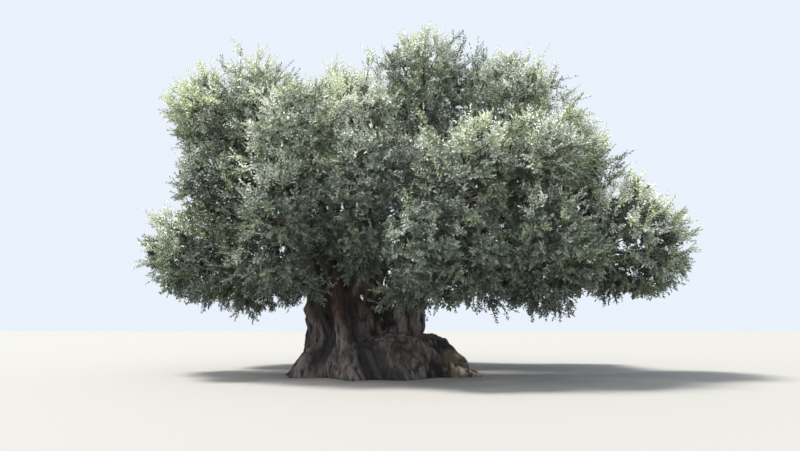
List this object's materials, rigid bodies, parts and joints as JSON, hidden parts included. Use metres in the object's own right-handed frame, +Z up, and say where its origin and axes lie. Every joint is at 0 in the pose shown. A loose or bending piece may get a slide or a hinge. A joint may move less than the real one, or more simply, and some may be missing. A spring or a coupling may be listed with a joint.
{
  "type": "ancient wild olive tree",
  "caption": "Old wild olive tree with a broad fluted trunk that parts into stems, spreading boughs and a wide domed crown made of separate masses of grey-green foliage.",
  "frame": {"origin": "middle of the flat cut under the trunk, at ground level", "axes": "+Z up the trunk, +X to the tree's right seen from the front along the crown's widest spread, -Y towards the viewer of the picture"},
  "size_m": [17.8914, 13.171, 11.5042],
  "materials": {
    "bark": "grey-brown fissured bark, with reddish bare wood in the hollows",
    "foliage": "small narrow leaves, dull grey-green above and silvery below"
  },
  "bodies": {
    "root": {"trunk": "bark", "bough_left_middle": "bark", "bough_left_inner_top": "bark", "bough_left_skirt": "bark", "bough_front_left_low": "bark", "bough_centre_top": "bark", "bough_front_left_top": "bark", "bough_front_middle": "bark", "bough_crown_top": "bark", "bough_right_upper": "bark", "bough_right_top": "bark", "bough_right_low": "bark", "bough_front_right_low": "bark", "bough_front_low": "bark", "bough_front_high": "bark", "bough_back_left_low": "bark", "bough_back_middle_top": "bark", "bough_back_left_top": "bark", "bough_back_middle": "bark", "bough_back_right_low": "bark", "bough_back_right_top": "bark", "foliage_left_outer_top": "foliage", "foliage_left_inner_top": "foliage", "foliage_left_middle": "foliage", "foliage_left_far_low": "foliage", "foliage_left_skirt": "foliage", "foliage_left_inner_skirt": "foliage", "foliage_front_left_top": "foliage", "foliage_front_left_low": "foliage", "foliage_front_middle": "foliage", "foliage_centre_top": "foliage", "foliage_crown_top": "foliage", "foliage_right_top": "foliage", "foliage_right_upper": "foliage", "foliage_right_low": "foliage", "foliage_front_high": "foliage", "foliage_front_low": "foliage", "foliage_front_right_high": "foliage", "foliage_front_right_low": "foliage", "foliage_back_left_top": "foliage", "foliage_back_left_low": "foliage", "foliage_back_middle": "foliage", "foliage_back_middle_top": "foliage", "foliage_back_right_top": "foliage", "foliage_back_right_low": "foliage"}
  },
  "joints": []
}
